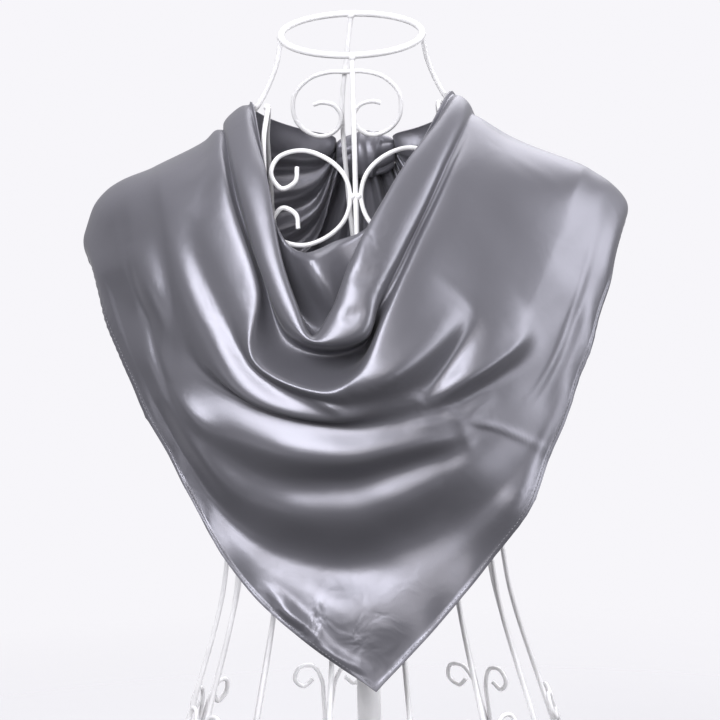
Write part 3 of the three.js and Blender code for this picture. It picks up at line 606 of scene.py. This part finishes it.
ripples = [  # length, lean, lag, height: the cloth is nowhere quite flat
    (61, 0.3, 0.4, 0.25), (47, 1.1, 2.0, 0.2), (83, -0.5, 1.1, 0.35), (38, 2.2, 0.2, 0.15), (55, 1.7, 4.0, 0.2),
    (29, 0.8, 5.1, 0.1), (34, -1.0, 3.3, 0.12)]
backStations = [  # turn, neck edge height, hem height, lift, gather depth
    (115, 686, 564, 4, 2), (138, 676, 552, 5, 4), (156, 668, 553, 6, 4), (168, 663, 576, 8, 3)]
scarf = {"frontColumns": 244, "backColumns": 28, "thickness": 1.2, "gathers": 3.5, "knotTop": 661,
         "knotBottom": 639, "knotGather": 1.5, "softening": 3, "pressedWidth": 6, "plainCrumple": 0.12}
shoulders = {"reach": 9, "softening": 12, "clear": 1.8, "depth": 48, "leftSwell": 2.5, "rightSwell": 5,
             "swellUp": 14, "swellSpread": 16, "turnIn": 7, "turnHeight": 24}
knot = {"x": 9, "y": 94, "z": 650, "halfLength": 24, "radius": 17, "pleats": 3.5, "pleatDepth": 0.14, "band": 0.1,
        "bandPleats": 8, "bandDepth": 0.07}
hem = {"width": 4.6, "rise": 0.7, "groove": 0.45, "pucker": 0.3, "puckerLength": 7.3, "wave": 0.9, "waveLength": 67,
       "stitchLine": 3.9, "stitchStep": 3.1, "stitchLength": 2.2, "threadRadius": 0.3}
crumples = [  # name, x, z, half width and height, strength, first and last fold
    ("rollBand", 12, 582, 16, 42, 0.8, 0.8, 3.6), ("tipLeft", -48, 300, 45, 32, 0.9, 12.6, 16.5),
    ("tip", 5, 290, 40, 38, 0.5, 13, 16.5), ("rightHem", 120, 378, 26, 30, 0.7, 13, 16.5),
    ("fan", 40, 480, 40, 22, 0.35, 6, 10.5), ("leftFold", -95, 545, 30, 45, 0.3, 5, 9.5),
    ("leftHem", -140, 440, 25, 40, 0.4, 13, 16.5)]


def foldLine(row, across):
    name, rows, leftShoulder, *stations, rightShoulder = row
    points = np.array([(-levelAt(drapeLevels, 1, leftShoulder[0]), *leftShoulder), *stations,
                       (levelAt(drapeLevels, 1, rightShoulder[0]), *rightShoulder)])
    if name == "hem":  # the point of the scarf is a corner
        half = len(points) // 2
        left = smoothThrough(points[:half + 1], across[across < 0.5] * 2 * half)
        right = smoothThrough(points[half:], (across[across >= 0.5] * 2 - 1) * half)
        line = np.concatenate([left, right])
    else:
        line = smoothThrough(points, across * (len(points) - 1))
    turn = np.arcsin(np.clip(line[:, 0] / levelAt(drapeLevels, 1, line[:, 1]), -1, 1))
    return liftedPoint(turn, line[:, 1], line[:, 2])


def smoothStep(value, low, high):
    u = np.clip((value - low) / (high - low), 0, 1)
    return u * u * (3 - 2 * u)


def creaseHeight(grid, downs, creases):
    height = np.zeros(grid.shape[:2])
    steps = np.linspace(0, 1, 81)[:, None]
    for name, start, via, end, width, tall, first, last in creases:
        start, via, end = np.array(start), np.array(via), np.array(end)
        path = (1 - steps) ** 2 * start + 2 * steps * (1 - steps) * via + steps ** 2 * end
        inside = smoothStep(downs, first, first + 0.6) * (1 - smoothStep(downs, last - 0.6, last))
        rows = np.nonzero(inside > 0)[0]
        away = np.linalg.norm(grid[rows][:, :, None, [0, 2]] - path[None, None], axis=-1)
        nearest, along = away.min(axis=2), away.argmin(axis=2) / (len(steps) - 1)
        height[rows] += tall * inside[rows, None] * np.sin(math.pi * along) * np.exp(-(nearest / width) ** 2)
    return height


def drapeGrid():
    last = len(frontFolds) - 1
    downs = np.concatenate([k + np.arange(row[1]) / row[1] for k, row in enumerate(frontFolds[:-1])] + [[last]])
    downs = np.where(downs > last - 1, last - (last - downs) ** 1.6, downs)  # rows crowd at the hem
    across = 0.5 - 0.5 * np.cos(math.pi * np.arange(scarf["frontColumns"] + 1) / scarf["frontColumns"])
    lines = np.array([foldLine(row, across) for row in frontFolds])
    front = smoothThrough(lines, downs)
    outward = front * (1 / 3, 1, 0)
    outward /= np.linalg.norm(outward, axis=-1, keepdims=True)
    ripple = np.zeros(front.shape[:2])
    for length, lean, lag, tall in ripples:
        run = front[..., 0] * math.cos(lean) + front[..., 2] * math.sin(lean)
        ripple += tall * np.sin(run * 2 * math.pi / length + lag)
    soft = [row for row in frontCreases if row[4] > scarf["pressedWidth"]]
    pressed = [row for row in frontCreases if row[4] <= scarf["pressedWidth"]]
    front += outward * (creaseHeight(front, downs, soft) + ripple * smoothStep(downs, 8, 9.5)[:, None])[..., None]
    for time in range(scarf["softening"]):
        front[1:-1] = (front[:-2] + 2 * front[1:-1] + front[2:]) / 4
    front += outward * creaseHeight(front, downs, pressed)[..., None]
    backs = []
    for side, shoulder in ((-1, front[:, 0]), (1, front[:, -1])):
        steps = np.linalg.norm(np.diff(shoulder, axis=0), axis=1)
        share = np.concatenate([[0], np.cumsum(steps)]) / steps.sum()
        pleat = np.cos(2 * math.pi * scarf["gathers"] * share)
        columns = [shoulder]
        for turn, neckZ, hemZ, lift, gather in backStations:
            column = liftedPoint(np.full(len(share), side * math.radians(turn)), neckZ + (hemZ - neckZ) * share,
                                 lift + gather * pleat)
            column[:, 0] += knot["x"] * (turn - 90) / 90
            columns.append(column)
        knotZ = scarf["knotTop"] + (scarf["knotBottom"] - scarf["knotTop"]) * share
        columns.append(np.stack([np.full(len(share), knot["x"] + side * knot["halfLength"]),
                                 knot["y"] + scarf["knotGather"] * pleat, knotZ], axis=-1))
        places = np.linspace(0, len(columns) - 1, scarf["backColumns"] + 1)[1:]
        backs.append(smoothThrough(np.array(columns), places).transpose(1, 0, 2))
    grid = np.concatenate([backs[0][:, ::-1], front, backs[1]], axis=1)
    number = np.arange(grid.shape[1])
    seams = (scarf["backColumns"], number[-1] - scarf["backColumns"])
    near = sum(np.exp(-((number - seam) / shoulders["reach"]) ** 2) for seam in seams)
    for time in range(shoulders["softening"]):  # the cloth turns gently over the shoulders
        grid[:, 1:-1] += 0.5 * near[None, 1:-1, None] * ((grid[:, :-2] + grid[:, 2:]) / 2 - grid[:, 1:-1])
    grid[..., 0] += shoulders["clear"] * near * np.sign(grid[..., 0])  # and keeps clear of the wires under it
    up = hemPlaces(grid)[0]  # above the hem the cloth swells at the shoulders, then turns in
    swell = np.where(grid[..., 0] > 0, shoulders["rightSwell"], shoulders["leftSwell"])
    swell = swell * np.exp(-((up - shoulders["swellUp"]) / shoulders["swellSpread"]) ** 2)
    swell = swell - shoulders["turnIn"] * np.clip(1 - up / shoulders["turnHeight"], 0, 1) ** 2
    grid[..., 0] += swell * np.exp(-(grid[..., 1] / shoulders["depth"]) ** 2) * np.sign(grid[..., 0])
    return grid, downs


def outwardOf(grid):
    across, down = np.gradient(grid, axis=1), np.gradient(grid, axis=0)
    normal = np.cross(down, across)
    normal /= np.maximum(np.linalg.norm(normal, axis=-1, keepdims=True), 1e-9)
    return normal


def hemPlaces(grid):  # distance up from the hem, and along it
    rise = np.linalg.norm(np.diff(grid, axis=0), axis=-1)[::-1].cumsum(axis=0)[::-1]
    up = np.concatenate([rise, np.zeros((1, grid.shape[1]))])
    along = np.concatenate([[0], np.linalg.norm(np.diff(grid[-1], axis=0), axis=-1).cumsum()])
    return up, along


def hemmed(grid):
    up, along = hemPlaces(grid)
    width = hem["width"]
    fold = hem["rise"] * (1 - smoothStep(up, width - 0.6, width + 0.9))
    groove = -hem["groove"] * np.exp(-((up - hem["stitchLine"]) / 0.8) ** 2)
    uneven = 0.5 + 0.5 * np.sin(along / 37 + 1.2 * np.sin(along / 83))
    pucker = hem["pucker"] * uneven * np.sin(along * 2 * math.pi / hem["puckerLength"] + 1.6 * np.sin(along / 19))
    wave = hem["wave"] * np.sin(along * 2 * math.pi / hem["waveLength"] + 1.3 * np.sin(along / 41))
    edge = fold + groove + pucker * np.exp(-(up / 9) ** 2) + wave * np.exp(-(up / 20) ** 2)
    return grid + outwardOf(grid) * edge[..., None]


def crumpleShare(grid, downs):
    share = np.full(grid.shape[:2], scarf["plainCrumple"])
    front = grid[..., 1] < 20
    for name, x, z, halfWidth, halfHeight, strength, first, last in crumples:
        rows = smoothStep(downs, first, first + 0.5) * (1 - smoothStep(downs, last - 0.5, last))
        spot = np.exp(-((grid[..., 0] - x) / halfWidth) ** 2 - ((grid[..., 2] - z) / halfHeight) ** 2)
        share += strength * rows[:, None] * spot * front
    return share


def clothPiece(name, grid, share, thickness, *nodes):
    rows, columns = grid.shape[:2]
    bm = bmesh.new()
    uv = bm.loops.layers.uv.new("weave")
    crumple = bm.verts.layers.float.new("crumple")
    bmesh.ops.create_grid(bm, x_segments=columns - 1, y_segments=rows - 1, size=1)
    spot = {v: (round((1 - v.co.y) / 2 * (rows - 1)), round((v.co.x + 1) / 2 * (columns - 1))) for v in bm.verts}
    acrossStep = np.linalg.norm(np.diff(grid, axis=1), axis=-1).mean(axis=0)
    downStep = np.linalg.norm(np.diff(grid, axis=0), axis=-1).mean(axis=1)
    acrossLength = np.concatenate([[0], np.cumsum(acrossStep)]) * mm  # the weave follows the cloth's own lengths
    downLength = np.concatenate([[0], np.cumsum(downStep)]) * mm
    for face in bm.faces:
        face.smooth = True
        for loop in face.loops:
            r, c = spot[loop.vert]
            loop[uv].uv = (acrossLength[c], downLength[r])
    for v, (r, c) in spot.items():
        v.co = grid[r, c] * mm
        v[crumple] = share[r, c]
    piece = meshPiece(name, bm, "satin", satin, *nodes)
    wall = piece.modifiers.new("wall", "SOLIDIFY")
    wall.thickness = thickness * mm
    wall.offset = 0
    return piece


def addStitches(name, grid):
    up = hemPlaces(grid)[0]
    normal = outwardOf(grid)
    radius, length = hem["threadRadius"], hem["stitchLength"]
    line = []
    for c in range(grid.shape[1]):
        r = np.searchsorted(-up[:, c], -hem["stitchLine"])
        line.append(grid[r, c] + normal[r, c] * (scarf["thickness"] / 2 + radius * 0.5))
    line = np.array(line)
    run = np.concatenate([[0], np.linalg.norm(np.diff(line, axis=0), axis=-1).cumsum()])
    bm = bmesh.new()
    for start in np.arange(3, run[-1] - 4, hem["stitchStep"]):
        a, b = (np.array([np.interp(t, run, line[:, k]) for k in range(3)]) for t in (start, start + length))
        turned = Vector(b - a).to_track_quat("X", "Z").to_matrix().to_4x4()
        shape = Matrix.Diagonal((length / 2 * mm, radius * mm, radius * mm, 1))
        bmesh.ops.create_icosphere(bm, subdivisions=1, radius=1,
                                   matrix=Matrix.Translation(Vector(a + b) / 2 * mm) @ turned @ shape)
    return meshPiece(name, bm, "satin", thread)


def addScarf():
    grid, downs = drapeGrid()
    grid = hemmed(grid)
    piece = clothPiece("scarf_drape", grid, crumpleShare(grid, downs), scarf["thickness"], "cowl_roll", "cowl_fold",
                       "front_drape", "left_wrap", "right_wrap")
    addStitches("hem_stitches", grid)
    print("scarf draped")


addScarf()


# knot and tails
tails = {
    "pleats": 2.5, "finePleats": 4.3, "pleatDepth": 5, "rootHalfWidth": 15, "halfWidth": 34, "sway": 4, "curl": 7,
    "crumple": 0.3, "rows": 90, "columns": 70,
    "each": [  # name, root x and y, tip
        ("left_tail", (-1, 104), (-48, 122, 432)), ("right_tail", (19, 96), (64, 110, 446))],
}


def addKnot():
    bm = bmesh.new()
    bm.loops.layers.uv.new("weave")
    bmesh.ops.create_uvsphere(bm, u_segments=112, v_segments=72, radius=1, calc_uvs=True)
    for v in bm.verts:
        along = v.co.z
        angle = math.atan2(v.co.y, v.co.x)
        swell = 0.55 + 0.45 * math.sqrt(max(0, 1 - along * along))
        ring = min(1, math.hypot(v.co.x, v.co.y) * 6)
        lean = 2.4 * along + 0.6 * math.sin(2 * angle)
        pleat = knot["pleatDepth"] * abs(math.sin(knot["pleats"] * angle + lean)) - 0.09
        over = smoothStep(abs(along - 0.16 * math.sin(angle)), 0.5, 0.32)  # one end is wound across the other
        lean = 0.9 * math.sin(angle + 0.7)
        band = knot["band"] + knot["bandDepth"] * abs(math.sin(knot["bandPleats"] * along + lean))
        radius = knot["radius"] * swell * ring * (1 + (1 - over) * pleat + over * band)
        v.co = Vector((knot["x"] + knot["halfLength"] * along, knot["y"] + radius * math.cos(angle) * 0.85,
                       knot["z"] + radius * math.sin(angle))) * mm
    bmesh.ops.recalc_face_normals(bm, faces=bm.faces)
    piece = meshPiece("nape_knot", bm, "satin", satin, "knot")


def addTail(name, rootPlace, tip):
    root = np.array([*rootPlace, knot["z"] - knot["radius"] * 0.5])  # the gathered top is inside the knot
    down = np.linspace(0, 1, tails["rows"])[:, None]
    across = np.linspace(-1, 1, tails["columns"])[None, :]
    middle = root + (np.array(tip) - root) * down[..., None]
    middle[..., 1] = root[1] + (tip[1] - root[1]) * down ** 0.6
    spread = tails["rootHalfWidth"] + (tails["halfWidth"] - tails["rootHalfWidth"]) * smoothStep(down, 0, 0.4)
    halfWidth = spread * np.minimum(1, (1.04 - down) / 0.5)
    lag = tip[0] / 40
    fine = 0.4 * np.sin(math.pi * tails["finePleats"] * across + 2 * lag - 3 * down)
    pleat = np.sin(math.pi * tails["pleats"] * across + lag) + fine
    pleat = pleat * tails["pleatDepth"] * (1.02 - down) ** 0.6
    sway = tails["sway"] * np.sin(math.pi * 1.3 * down) * np.sign(tip[0])
    curl = tails["curl"] * across * down * np.sign(tip[0])  # each corner turns a little
    grid = np.stack([middle[..., 0] + halfWidth * across + sway, middle[..., 1] + pleat + curl,
                     middle[..., 2] + 0 * across], axis=-1)
    share = np.full(grid.shape[:2], tails["crumple"])
    piece = clothPiece(name + "_cloth", grid, share, scarf["thickness"], name)


addKnot()
for tail in tails["each"]:
    addTail(*tail)
print("knot and tails made")
